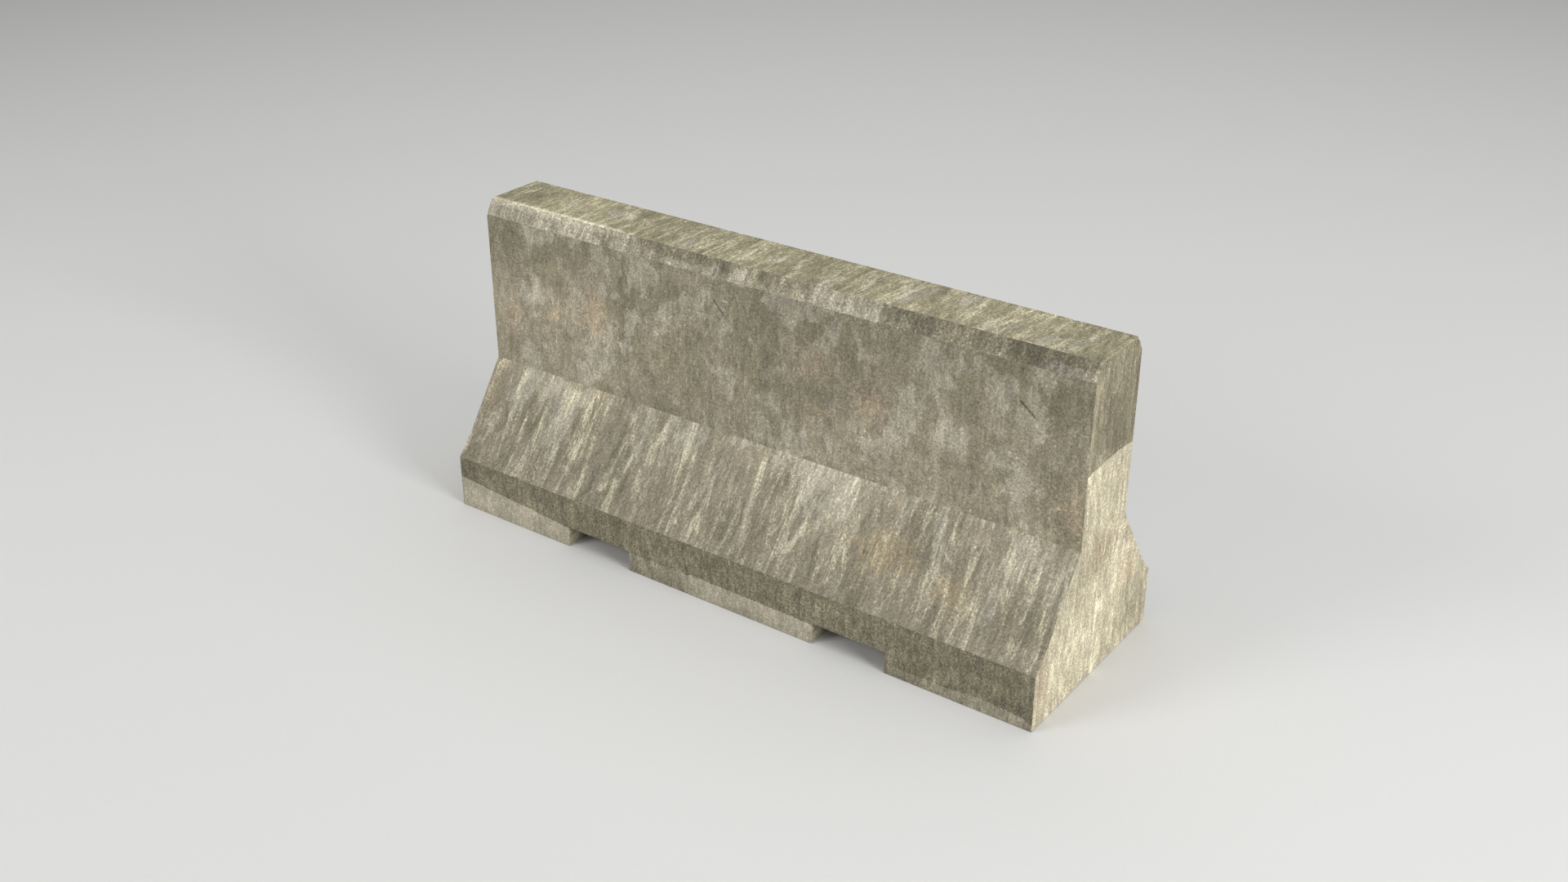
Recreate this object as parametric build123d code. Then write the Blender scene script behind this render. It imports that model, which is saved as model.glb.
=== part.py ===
from build123d import *
import os
from math import atan, cos, degrees, radians, sqrt, tan

# Precast concrete road barrier with the jersey profile: one casting around a tied steel cage.
# Millimetres. X runs along the barrier, Y across it, Z up. The origin is the centre of the base.

# the casting
LENGTH = 1920
HEIGHT = 900
BASE_WIDTH = 615
TOE_HEIGHT = 160  # top of the upright foot on each side
LEDGE_WIDTH = 516  # where the short toe bevel ends and the long slope begins
LEDGE_HEIGHT = 214
WEB_WIDTH = 236
WAIST_HEIGHT = 414  # where the long slope meets the upright web
BEVEL_HEIGHT = 857  # where the web gives way to the bevel under the top
TOP_WIDTH = 184
ARRIS_RADIUS = 4  # the rounded corners that the mould leaves

# the two slots through the foot, for the tines of a fork-lift truck
SLOT_WIDTH = 224
SLOT_HEIGHT = 62
SLOT_SPACING = 846  # centre to centre

# the reinforcing cage: bars along the barrier, hairpin links and straight cross bars
COVER = 40  # least concrete over the steel
LINK_RADIUS = 4  # of the hairpins and the cross bars
BAR_RADIUS = 6
BEND_RADIUS = 20  # of a hairpin's centre line
PASTE_FILM = 1  # cement paste between two pieces that are tied together
LINK_COUNT = 10
LINK_PITCH = 200
CROSS_STEP = 16  # from a hairpin to the cross bar beside it
WEB_BAR_HEIGHT = 640
WAIST_BAR_HEIGHT = 425
SLOPE_BAR_HEIGHT = 262  # where the slope bars touch the hairpins
BASE_BAR_OFFSET = 90

# the wire loops that tie the crossings
WIRE = 1.6
LOOP_REACH = 11.6  # from a loop's middle to its six sides, just clear of what it ties

# the plastic wheels that held the cage off the mould
SPACER_RADIUS = 42
SPACER_THICKNESS = 10
SPACER_THROAT = 6  # the slit that snaps over a hairpin
WINDOW_RADIUS = 9
WINDOW_CIRCLE = 24
WINDOW_COUNT = 4
SPACED_HAIRPINS = (1, 5, 8)  # counted from 0
WEB_SPACER_HEIGHT = 740
LEG_SPACER_HEIGHT = 330

# the centre line of a hairpin lies one cover and half its own thickness inside the section
INSET = COVER + LINK_RADIUS
SLOPE_ANGLE = atan((LEDGE_WIDTH - WEB_WIDTH) / 2 / (WAIST_HEIGHT - LEDGE_HEIGHT))
HAIRPIN_WEB = WEB_WIDTH / 2 - INSET
HAIRPIN_TOP = HEIGHT - INSET
HAIRPIN_WAIST = WAIST_HEIGHT - INSET * tan(SLOPE_ANGLE / 2)
HAIRPIN_TOE = BASE_WIDTH / 2 - INSET
HAIRPIN_FOOT = SLOT_HEIGHT + INSET
LEG_ANGLE = atan((HAIRPIN_TOE - HAIRPIN_WEB) / (HAIRPIN_WAIST - HAIRPIN_FOOT))

# from the centre line of a link to that of a bar tied to it
TIE_STEP = LINK_RADIUS + PASTE_FILM + BAR_RADIUS

SIDES = {"front": -1, "back": 1}


def stations():
    """Where the hairpins stand along the barrier."""
    first = -LINK_PITCH * (LINK_COUNT - 1) / 2
    return [first + LINK_PITCH * index for index in range(LINK_COUNT)]


def leg_offset(height):
    """How far out the centre line of a hairpin's leg is at this height."""
    return HAIRPIN_WEB + (HAIRPIN_WAIST - height) * tan(LEG_ANGLE)


def both_sides(points):
    """The (y, z) points of the back, then those of the front in reverse."""
    return points + [(-y, z) for y, z in reversed(points)]


def concrete_casting():
    """The whole block. The cage lies in it, and no cavity is cut for the cage."""
    outline = [
        (BASE_WIDTH / 2, 0),
        (BASE_WIDTH / 2, TOE_HEIGHT),
        (LEDGE_WIDTH / 2, LEDGE_HEIGHT),
        (WEB_WIDTH / 2, WAIST_HEIGHT),
        (WEB_WIDTH / 2, BEVEL_HEIGHT),
        (TOP_WIDTH / 2, HEIGHT),
    ]
    section = make_face(Plane.YZ * Polyline(*both_sides(outline), close=True))
    block = extrude(section, LENGTH / 2, both=True)
    for side in (-1, 1):
        block -= Pos(side * SLOT_SPACING / 2, 0, 0) * Box(SLOT_WIDTH, BASE_WIDTH, 2 * SLOT_HEIGHT)
    arrises = block.edges().filter_by(lambda edge: edge.center().Z > SLOT_HEIGHT + 1)
    return fillet(arrises, ARRIS_RADIUS)


def hairpin(x):
    """A link from the toe up one side of the barrier, over the top and down to the other toe."""
    side = [
        (HAIRPIN_TOE, HAIRPIN_FOOT),
        (HAIRPIN_WEB, HAIRPIN_WAIST),
        (HAIRPIN_WEB, HAIRPIN_TOP),
    ]
    route = FilletPolyline([(x, y, z) for y, z in both_sides(side)], radius=BEND_RADIUS)
    section = Plane(origin=route @ 0, z_dir=route % 0) * Circle(LINK_RADIUS)
    return sweep(section, route)


def cross_bar(x):
    """A straight bar across the foot above the slots, beside a hairpin's ends."""
    bar = Cylinder(LINK_RADIUS, BASE_WIDTH - 2 * COVER)
    return Pos(x + CROSS_STEP, 0, HAIRPIN_FOOT) * Rot(90, 0, 0) * bar


def crossings():
    """For each pair of bars along the barrier: the point of the link that it is tied to.

    Each is (y, z) on the back, and the way from there to the bar as an angle from +Y towards +Z.
    """
    bend = BEND_RADIUS * (1 - 1 / sqrt(2))
    toe_height = HAIRPIN_FOOT + TIE_STEP
    return {
        "top_bar": (HAIRPIN_WEB - bend, HAIRPIN_TOP - bend, 225),
        "web_bar": (HAIRPIN_WEB, WEB_BAR_HEIGHT, 180),
        "waist_bar": (HAIRPIN_WEB, WAIST_BAR_HEIGHT, 180),
        "slope_bar": (leg_offset(SLOPE_BAR_HEIGHT), SLOPE_BAR_HEIGHT, 180 + degrees(LEG_ANGLE)),
        "toe_bar": (leg_offset(toe_height) - TIE_STEP / cos(LEG_ANGLE), HAIRPIN_FOOT, 90),
        "base_bar": (BASE_BAR_OFFSET, HAIRPIN_FOOT, 90),
    }


def at_crossing(crossing, side, x, step):
    """The place at this step from the link's centre line towards the bar's."""
    y, z, angle = crossing
    way = Vector(0, 1, 0).rotate(Axis.X, angle)
    way = Vector(0, side * way.Y, way.Z)
    return Plane(origin=Vector(x, side * y, z) + way * step, x_dir=way, z_dir=(1, 0, 0))


def straight_bar(crossing, side):
    """A bar along the barrier, one cover short of each end."""
    return at_crossing(crossing, side, 0, TIE_STEP) * Cylinder(BAR_RADIUS, LENGTH - 2 * COVER)


def wire_loop(crossing, side, x):
    """A six-sided loop of square wire, slantwise around a link and a bar."""
    inside = LOOP_REACH / cos(radians(30))
    outside = (LOOP_REACH + WIRE) / cos(radians(30))
    ring = RegularPolygon(outside, 6) - RegularPolygon(inside, 6)
    middle = (TIE_STEP + BAR_RADIUS - LINK_RADIUS) / 2
    return at_crossing(crossing, side, x, middle) * Rot(45, 0, 0) * extrude(ring, WIRE / 2, both=True)


def wire_ties():
    """Every second crossing is tied, in a chequered pattern."""
    loops = []
    for row, (name, crossing) in enumerate(crossings().items()):
        step = CROSS_STEP if name in ("toe_bar", "base_bar") else 0
        for x in stations()[row % 2 :: 2]:
            loops += [wire_loop(crossing, side, x + step) for side in SIDES.values()]
    return Compound(loops)


def spacer():
    """A wheel around the Z axis, open towards +X, where it snaps over a hairpin."""
    wheel = Cylinder(SPACER_RADIUS, SPACER_THICKNESS) - Cylinder(LINK_RADIUS, SPACER_THICKNESS)
    for window in PolarLocations(WINDOW_CIRCLE, WINDOW_COUNT, start_angle=45):
        wheel -= window * Cylinder(WINDOW_RADIUS, SPACER_THICKNESS)
    throat = Box(SPACER_RADIUS, SPACER_THROAT, SPACER_THICKNESS)
    return wheel - Pos(SPACER_RADIUS / 2, 0, 0) * throat


def spacers():
    """Some hairpins carry a wheel on each side of the web and one on each leg."""
    on_web = Plane(origin=(0, HAIRPIN_WEB, WEB_SPACER_HEIGHT), x_dir=(0, -1, 0), z_dir=(0, 0, 1))
    on_leg = Pos(0, leg_offset(LEG_SPACER_HEIGHT), LEG_SPACER_HEIGHT)
    on_leg *= Rot(degrees(LEG_ANGLE), 0, 0) * Rot(0, 0, -90)
    back = [on_web * spacer(), on_leg * spacer()]
    hairpin_set = back + [mirror(wheel, about=Plane.XZ) for wheel in back]
    places = [Pos(stations()[index], 0, 0) for index in SPACED_HAIRPINS]
    return Compound([place * wheel for place in places for wheel in hairpin_set])


def cage():
    """Each piece, or group of like pieces, that the casting holds."""
    pieces = {}
    for name, crossing in crossings().items():
        for side_name, side in SIDES.items():
            pieces[f"{name}_{side_name}"] = straight_bar(crossing, side)
    for number, x in enumerate(stations(), start=1):
        pieces[f"hairpin_link_{number:02d}"] = hairpin(x)
        pieces[f"cross_bar_{number:02d}"] = cross_bar(x)
    pieces["cover_spacers"] = spacers()
    pieces["wire_ties"] = wire_ties()
    return pieces


def main():
    pieces = cage()
    pieces["concrete_casting"] = concrete_casting()
    os.makedirs("parts", exist_ok=True)
    for name, piece in pieces.items():
        export_step(piece, f"parts/{name}.step")


main()
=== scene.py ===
"""Looks, light and camera for the concrete jersey barrier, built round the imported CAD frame."""

import math

import bmesh
import bpy
import numpy as np
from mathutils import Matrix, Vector, noise


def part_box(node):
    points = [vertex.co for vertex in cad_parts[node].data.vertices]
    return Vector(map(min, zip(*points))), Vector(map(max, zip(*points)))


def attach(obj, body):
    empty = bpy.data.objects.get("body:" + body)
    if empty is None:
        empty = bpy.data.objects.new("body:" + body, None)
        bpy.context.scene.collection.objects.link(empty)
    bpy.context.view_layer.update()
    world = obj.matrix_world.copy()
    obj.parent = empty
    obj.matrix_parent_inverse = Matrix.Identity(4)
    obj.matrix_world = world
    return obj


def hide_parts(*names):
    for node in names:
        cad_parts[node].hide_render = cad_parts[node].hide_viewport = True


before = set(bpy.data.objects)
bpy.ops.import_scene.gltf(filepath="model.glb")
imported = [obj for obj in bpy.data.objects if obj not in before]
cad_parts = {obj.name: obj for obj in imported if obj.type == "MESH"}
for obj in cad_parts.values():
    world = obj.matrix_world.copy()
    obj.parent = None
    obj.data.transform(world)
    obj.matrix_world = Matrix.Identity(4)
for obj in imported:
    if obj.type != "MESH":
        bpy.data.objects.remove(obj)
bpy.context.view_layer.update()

# ---------------------------------------------------------------- the casting's own measures, in metres
LOW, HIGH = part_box("concrete_casting")
HALF_LENGTH = (HIGH[0] - LOW[0]) / 2
HALF_BASE = (HIGH[1] - LOW[1]) / 2
HEIGHT = HIGH[2]
TOE_HEIGHT = 0.160
LEDGE_HALF, LEDGE_HEIGHT = 0.258, 0.214
WEB_HALF, WAIST_HEIGHT = 0.118, 0.414
BEVEL_HEIGHT = 0.857
TOP_HALF = 0.092
SLOT_LENGTH, SLOT_HEIGHT, SLOT_CENTRE = 0.224, 0.062, 0.423
SLOTS = [(c - SLOT_LENGTH / 2, c + SLOT_LENGTH / 2) for c in (-SLOT_CENTRE, SLOT_CENTRE)]
SLOT_WALLS = [x for slot in SLOTS for x in slot]
# half-width and height of each station up one side
PROFILE = [
    (HALF_BASE, 0.0),
    (HALF_BASE, SLOT_HEIGHT),
    (HALF_BASE, TOE_HEIGHT),
    (LEDGE_HALF, LEDGE_HEIGHT),
    (WEB_HALF, WAIST_HEIGHT),
    (WEB_HALF, BEVEL_HEIGHT),
    (TOP_HALF, HEIGHT),
]

# ---------------------------------------------------------------- mesh fineness
# places next to an edge, then the step between edges; across is in half-widths
EDGE_STEPS = (0.0, 0.0013, 0.0028, 0.0046, 0.0075)
COLUMN_STEP = 0.0095
ROW_STEP = 0.0125
ACROSS_EDGE_STEPS = (0.0, 0.006, 0.015, 0.032)
ACROSS_STEP = 0.07
# cuts in the mesh where a chip or a scratch is
CHIP_CUTS, SCRATCH_CUTS = 2, 5
SCRATCH_MARGIN = 0.010
# places closer than this are one place
TOUCH = 1e-7

# ---------------------------------------------------------------- wear
# uneven things are given as amount, scale and shift of their noise
ARRIS_RADIUS, LEAST_RADIUS, MOST_RADIUS = 0.0021, 1e-5, 0.02
ARRIS_SWELL, ARRIS_NICKS = (0.45, 9.0, 0.0), (0.35, 55.0, 5.0)
# how near a slot's inner corner the rounding fades out, and how far from a slot its walls matter
CORNER_REACH, WALL_REACH = 0.010, 0.05
ROUNDING_PASSES = 14
# chips: where along an edge, how far each reaches, and its depth in reaches
CHIP_COUNT, CHIP_SEED = 46, 11
CHIP_SPOT, CHIP_REACH, CHIP_DEPTH = (0.04, 0.96), (0.005, 0.016), (0.20, 0.35)
CHIP_RIM, CHIP_ROUGHNESS = 1.5, (0.45, 150.0, 9.0)
# how deep the faces are hollow and rippled
HOLLOW, RIPPLE = (0.0006, 3.1, 2.0), (0.0002, 40.0, 4.0)

# ---------------------------------------------------------------- the sheets of the skin
FRONT, BACK, TOP, BASE, RIGHT_END, LEFT_END, SLOT_WALL = range(7)
# how far apart the sheets and the side's bands lie in the patterns, so that none repeats another
SHEET_GAP, BAND_GAP = 37.0, 7.3
# draws a corner's height in to the middle of its face, off the line between two bands
INSIDE = 0.999
# how the front's stains are moved to make the back's
BACK_STRETCH, BACK_SHIFT, BACK_SWAY, BACK_WAVES = 0.9, -0.03, 0.07, 4.0

# ---------------------------------------------------------------- stains
# on the sides: along, up, half-length, half-height, strength
PALE = (
    (-0.76, 0.845, 0.1, 0.03, 1.0),
    (-0.6, 0.835, 0.12, 0.035, 1.0),
    (-0.4, 0.8, 0.05, 0.055, 1.0),
    (-0.44, 0.6, 0.04, 0.07, 0.8),
    (-0.08, 0.785, 0.04, 0.05, 0.8),
    (-0.08, 0.715, 0.05, 0.045, 0.7),
    (-0.18, 0.62, 0.05, 0.06, 0.7),
    (0.1, 0.835, 0.05, 0.028, 1.0),
    (0.21, 0.825, 0.1, 0.04, 1.0),
    (0.3, 0.78, 0.06, 0.045, 0.8),
    (0.48, 0.79, 0.07, 0.05, 0.9),
    (0.47, 0.57, 0.05, 0.06, 1.0),
    (0.62, 0.61, 0.06, 0.03, 0.7),
    (0.7, 0.59, 0.06, 0.035, 0.9),
    (0.79, 0.775, 0.05, 0.05, 1.0),
    (0.83, 0.72, 0.03, 0.06, 0.9),
    (0.78, 0.6, 0.06, 0.05, 0.9),
    (0.13, 0.47, 0.03, 0.045, 0.8),
    (-0.58, 0.455, 0.06, 0.04, 0.8),
    (-0.78, 0.5, 0.05, 0.04, 0.6),
    (-0.79, 0.4, 0.03, 0.022, 1.0),
    (-0.66, 0.375, 0.11, 0.05, 1.5),
    (-0.66, 0.31, 0.04, 0.06, 0.9),
    (0.24, 0.38, 0.13, 0.05, 1.5),
    (0.31, 0.335, 0.08, 0.05, 1.0),
    (0.82, 0.37, 0.06, 0.035, 0.8),
    (-0.2, 0.385, 0.08, 0.03, 0.8),
    (-0.74, 0.876, 0.24, 0.06, 1.6),
    (0.255, 0.88, 0.095, 0.06, 2.4),
    (-0.1, 0.864, 0.3, 0.012, 0.7),
    (0.9, 0.866, 0.07, 0.01, 1.4),
)
DARK = (
    (-0.88, 0.79, 0.1, 0.07, 1.0),
    (-0.73, 0.74, 0.07, 0.07, 0.7),
    (-0.48, 0.7, 0.08, 0.13, 1.0),
    (-0.27, 0.79, 0.09, 0.06, 1.0),
    (-0.29, 0.6, 0.09, 0.11, 0.8),
    (-0.14, 0.84, 0.08, 0.025, 0.8),
    (-0.01, 0.8, 0.08, 0.08, 1.0),
    (0.03, 0.64, 0.08, 0.13, 0.9),
    (0.17, 0.75, 0.1, 0.04, 0.8),
    (0.63, 0.74, 0.06, 0.09, 1.0),
    (0.7, 0.84, 0.1, 0.025, 1.1),
    (0.9, 0.77, 0.06, 0.08, 1.0),
    (0.9, 0.47, 0.06, 0.08, 0.7),
    (-0.82, 0.3, 0.06, 0.05, 1.0),
    (-0.55, 0.32, 0.04, 0.07, 0.7),
    (-0.42, 0.33, 0.07, 0.05, 0.5),
    (0.105, 0.345, 0.03, 0.035, 1.2),
    (0.55, 0.365, 0.09, 0.035, 1.0),
    (0.9, 0.27, 0.07, 0.05, 0.7),
    (-0.17, 0.894, 0.3, 0.02, 1.4),
    (0.62, 0.89, 0.28, 0.028, 1.5),
    (0.9, 0.893, 0.1, 0.016, 1.8),
)
WARM = (
    (-0.57, 0.655, 0.05, 0.06, 1.0),
    (-0.67, 0.66, 0.06, 0.04, 0.8),
    (-0.73, 0.6, 0.04, 0.03, 0.8),
    (-0.88, 0.57, 0.03, 0.04, 0.8),
    (0.17, 0.56, 0.035, 0.03, 0.9),
    (0.35, 0.64, 0.06, 0.055, 1.0),
    (0.2, 0.7, 0.06, 0.04, 0.7),
    (0.93, 0.5, 0.03, 0.07, 0.6),
    (-0.93, 0.33, 0.06, 0.08, 0.4),
    (0.46, 0.285, 0.11, 0.055, 1.1),
    (0.68, 0.25, 0.06, 0.045, 1.0),
    (-0.56, 0.4, 0.06, 0.02, 0.7),
)
# on the ends: across, up, half-width, half-height, strength
END_PALE = (
    (-0.07, 0.56, 0.05, 0.05, 0.8),
    (0.0, 0.48, 0.05, 0.06, 0.8),
    (0.1, 0.27, 0.07, 0.1, 1.0),
    (-0.1, 0.12, 0.12, 0.09, 1.0),
    (-0.22, 0.18, 0.06, 0.07, 0.9),
    (0.0, 0.06, 0.1, 0.06, 0.9),
    (-0.095, 0.8, 0.02, 0.1, 1.4),
    (-0.1, 0.69, 0.014, 0.08, 1.2),
)
END_DARK = (
    (0.2, 0.12, 0.08, 0.09, 1.0),
    (0.13, 0.4, 0.06, 0.06, 0.7),
    (-0.02, 0.33, 0.08, 0.05, 0.6),
    (0.27, 0.06, 0.05, 0.06, 0.8),
    (-0.04, 0.76, 0.05, 0.09, 1.0),
    (0.03, 0.66, 0.06, 0.05, 0.8),
)
END_WARM = (
    (-0.01, 0.37, 0.08, 0.06, 1.0),
    (0.11, 0.76, 0.02, 0.12, 1.0),
    (-0.28, 0.12, 0.04, 0.08, 0.8),
    (0.16, 0.24, 0.05, 0.05, 0.7),
)
# cream runs down the slope: along, half-width, lowest, highest, strength
RUNS = (
    (-0.93, 0.01, 0.26, 0.41, 0.5),
    (-0.78, 0.008, 0.2, 0.4, 0.7),
    (-0.75, 0.009, 0.18, 0.36, 0.8),
    (-0.68, 0.013, 0.16, 0.4, 1.0),
    (-0.645, 0.012, 0.22, 0.39, 0.9),
    (-0.57, 0.01, 0.18, 0.4, 0.8),
    (-0.4, 0.008, 0.17, 0.33, 0.5),
    (-0.3, 0.01, 0.18, 0.4, 0.9),
    (-0.2, 0.009, 0.19, 0.39, 0.7),
    (-0.11, 0.01, 0.17, 0.34, 0.9),
    (-0.03, 0.008, 0.24, 0.4, 0.5),
    (0.055, 0.008, 0.22, 0.38, 0.5),
    (0.17, 0.01, 0.2, 0.38, 0.8),
    (0.28, 0.011, 0.22, 0.4, 0.8),
    (0.36, 0.009, 0.22, 0.38, 0.8),
    (0.52, 0.008, 0.18, 0.32, 0.6),
    (0.6, 0.009, 0.18, 0.4, 0.8),
    (0.7, 0.012, 0.17, 0.36, 1.0),
    (0.8, 0.009, 0.2, 0.4, 0.9),
    (0.88, 0.008, 0.24, 0.4, 0.7),
)
# where a run fades in and out, from its lowest and from its highest place
RUN_START, RUN_STOP = (-0.02, 0.03), (-0.02, 0.02)
# cream bars across the top: along, half-width, strength
TOP_RUNS = (
    (-0.72, 0.012, 0.8),
    (-0.55, 0.008, 0.4),
    (-0.2, 0.013, 1.0),
    (-0.09, 0.011, 1.0),
    (0.05, 0.008, 0.4),
    (0.27, 0.011, 0.9),
    (0.37, 0.01, 0.9),
    (0.5, 0.008, 0.4),
    (0.64, 0.013, 1.0),
    (0.73, 0.008, 0.5),
    (0.83, 0.012, 0.9),
)
# dark drips at the waist: along, half-width, lowest, highest, strength
DRIPS = (
    (-0.9, 0.007, 0.4, 0.5, 0.6),
    (-0.3, 0.014, 0.38, 0.5, 0.7),
    (-0.16, 0.009, 0.39, 0.55, 1.0),
    (0.03, 0.01, 0.38, 0.47, 1.0),
    (0.61, 0.01, 0.39, 0.47, 0.8),
    (0.75, 0.008, 0.34, 0.52, 1.0),
)
# the line on the toe: along, its height, how strong the pale band under it is
TOE_LINE_POINTS = (
    (-0.96, 0.096, 1.0),
    (-0.54, 0.062, 1.0),
    (-0.31, 0.062, 0.3),
    (-0.13, 0.058, 0.4),
    (-0.08, 0.066, 1.0),
    (0.31, 0.06, 1.0),
    (0.54, 0.03, 0.2),
    (0.74, 0.034, 0.5),
    (0.82, 0.04, 0.7),
    (0.93, 0.032, 0.8),
    (0.96, 0.02, 0.5),
)
# how light the stone is up each side: height, brightness
WASH = (
    (0.0, 0.84),
    (0.05, 0.98),
    (0.1, 1.0),
    (0.159, 0.94),
    (0.161, 0.86),
    (0.214, 0.9),
    (0.26, 0.96),
    (0.34, 1.06),
    (0.413, 1.24),
    (0.415, 1.08),
    (0.56, 1.1),
    (0.68, 1.06),
    (0.78, 1.0),
    (0.856, 0.9),
    (0.858, 1.0),
    (0.9, 0.96),
)
# soft lighter and darker areas: along, up, half-length, half-height, strength
GLOWS = (
    (-0.72, 0.64, 0.2, 0.12, 0.18),
    (-0.42, 0.65, 0.07, 0.09, -0.1),
    (-0.25, 0.6, 0.14, 0.08, 0.1),
    (-0.3, 0.825, 0.08, 0.04, 0.1),
    (0.2, 0.69, 0.2, 0.14, -0.19),
    (0.42, 0.84, 0.1, 0.04, -0.12),
    (0.62, 0.64, 0.16, 0.15, 0.1),
    (-0.06, 0.76, 0.07, 0.1, 0.16),
    (-0.3, 0.74, 0.08, 0.07, -0.14),
    (0.92, 0.77, 0.08, 0.12, -0.15),
    (-0.66, 0.45, 0.15, 0.05, 0.12),
    (-0.92, 0.45, 0.05, 0.05, -0.1),
    (0.06, 0.46, 0.06, 0.05, -0.14),
    (0.3, 0.455, 0.1, 0.05, 0.12),
    (-0.68, 0.385, 0.12, 0.04, 0.26),
    (-0.18, 0.34, 0.11, 0.04, 0.12),
    (-0.24, 0.398, 0.11, 0.025, -0.16),
    (0.66, 0.398, 0.15, 0.025, -0.14),
    (-0.4, 0.385, 0.08, 0.04, -0.1),
    (0.31, 0.3, 0.07, 0.09, 0.2),
    (0.56, 0.33, 0.09, 0.055, -0.26),
    (0.68, 0.31, 0.08, 0.06, -0.14),
    (0.0, 0.24, 0.09, 0.04, -0.13),
    (0.93, 0.29, 0.06, 0.06, 0.12),
    (-0.92, 0.13, 0.05, 0.05, -0.22),
    (-0.76, 0.03, 0.18, 0.03, 0.14),
    (-0.69, 0.1, 0.05, 0.1, 0.2),
    (0.18, 0.1, 0.06, 0.1, 0.12),
    (0.9, 0.1, 0.08, 0.1, -0.2),
    (-0.86, 0.878, 0.05, 0.05, -0.22),
    (-0.67, 0.878, 0.1, 0.05, 0.34),
    (-0.15, 0.878, 0.06, 0.05, -0.3),
    (0.04, 0.878, 0.1, 0.05, 0.24),
    (0.24, 0.878, 0.06, 0.05, 0.28),
    (0.47, 0.878, 0.08, 0.05, -0.42),
    (0.79, 0.878, 0.13, 0.05, -0.42),
)
# the same across the whole width of the top: along, half-length, strength
TOP_GLOWS = (
    (-0.73, 0.1, 0.26),
    (-0.2, 0.08, 0.12),
    (0.08, 0.1, -0.1),
    (0.3, 0.07, -0.06),
    (0.62, 0.08, 0.1),
    (0.86, 0.08, -0.12),
)
# and on the ends: across, up, half-width, half-height, strength
END_GLOWS = (
    (-0.112, 0.74, 0.013, 0.13, 0.38),
    (-0.1, 0.84, 0.02, 0.04, 0.3),
    (0.0, 0.7, 0.04, 0.09, -0.12),
    (0.06, 0.52, 0.04, 0.06, -0.06),
    (-0.02, 0.33, 0.08, 0.05, -0.06),
    (0.12, 0.26, 0.06, 0.09, 0.08),
    (-0.12, 0.14, 0.08, 0.08, 0.05),
)
# a half-height that takes in everything
FAR = 1e3
# painted highlight along the left half of the front top arris, added as brightness and as cream:
# its edges on the top and on the bevel, and where it fades out along each
HIGHLIGHT_BRIGHTNESS, HIGHLIGHT_CREAM = 0.40, 2.0
HIGHLIGHT_ON_TOP, HIGHLIGHT_ON_BEVEL = (0.008, 0.020), (0.028, 0.038)
TOP_HIGHLIGHT_END, BEVEL_HIGHLIGHT_END = (-0.55, -0.35), (-0.50, -0.36)
# the line on the ends: its height, its wave's height and pace, and how much lower it is on the left end
END_LINE, END_WAVE, END_WAVES, END_DROP = 0.615, 0.006, 14.0, 0.05
# how fast a line's field grows with the distance from it
LINE_FIELD_SLOPE = 20.0
# the slope has more film above this height
FILM_HEIGHT, FILM_RISE = 0.350, 3.0
# two scratches in the web, each as the points it runs through: along, up
SCRATCHES = (
    ((-0.142, 0.790), (-0.127, 0.775), (-0.112, 0.758)),
    ((0.772, 0.758), (0.790, 0.743), (0.809, 0.728)),
)
SCRATCH_DEPTH, SCRATCH_WIDTH = 0.0028, 0.0030
SCRATCH_SHADE = 0.62


# ================================================================ the casting's mesh
def graded(start, stop, step, near):
    """Places from start to stop, close together at both ends and about step apart between them."""
    length = stop - start
    inner = near[-1]
    count = max(1, round((length - 2 * inner) / step))
    middle = np.linspace(inner, length - inner, count + 1)[1:-1]
    offsets = np.concatenate([near, middle, length - np.array(near[::-1])])
    return start + offsets


def joined(parts):
    """Several runs of places in one list, with each shared end named once."""
    return np.concatenate([parts[0]] + [p[1:] for p in parts[1:]])


def column_places():
    """Where the mesh has a column along the barrier, with close ones at the ends and slot walls."""
    stops = [-HALF_LENGTH, *SLOT_WALLS, HALF_LENGTH]
    return joined([graded(a, b, COLUMN_STEP, EDGE_STEPS) for a, b in zip(stops, stops[1:])])


def profile_places():
    """(half-width, height) of every row up one side."""
    rows = []
    for (y0, z0), (y1, z1) in zip(PROFILE, PROFILE[1:]):
        length = math.hypot(y1 - y0, z1 - z0)
        share = graded(0.0, length, ROW_STEP, EDGE_STEPS) / length
        part = [(y0 + (y1 - y0) * t, z0 + (z1 - z0) * t) for t in share]
        rows += part if not rows else part[1:]
    return rows


class Shell:
    """Gathers vertices, one to each place to the micrometre, and faces with the sheet each lies on."""

    def __init__(self):
        self.index = {}
        self.places = []
        self.faces = []
        self.sheets = []

    def vertex(self, place):
        """The number of the vertex at a place, which is made if it is the first one there."""
        key = tuple(round(c * 1e6) for c in place)
        if key not in self.index:
            self.index[key] = len(self.places)
            self.places.append(place)
        return self.index[key]

    def grid(self, places, sheet, wanted=None):
        """Quads over a grid of places; wanted(a, b) says from two opposite corners if one is kept."""
        for lower, upper in zip(places, places[1:]):
            for k in range(len(lower) - 1):
                if wanted and not wanted(lower[k], upper[k + 1]):
                    continue
                corners = (lower[k], lower[k + 1], upper[k + 1], upper[k])
                self.faces.append([self.vertex(c) for c in corners])
                self.sheets.append(sheet)


def over_slot(a, b):
    """If the quad between two opposite corners lies over a slot."""
    return any(left < (a[0] + b[0]) / 2 < right for left, right in SLOTS)


def over_foot(a, b):
    """If the quad between two opposite corners lies over a foot."""
    return not over_slot(a, b)


def solid_side(a, b):
    """If a quad of the side is kept, which it is unless it lies across a slot's mouth."""
    return (a[2] + b[2]) / 2 > SLOT_HEIGHT or over_foot(a, b)


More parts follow.
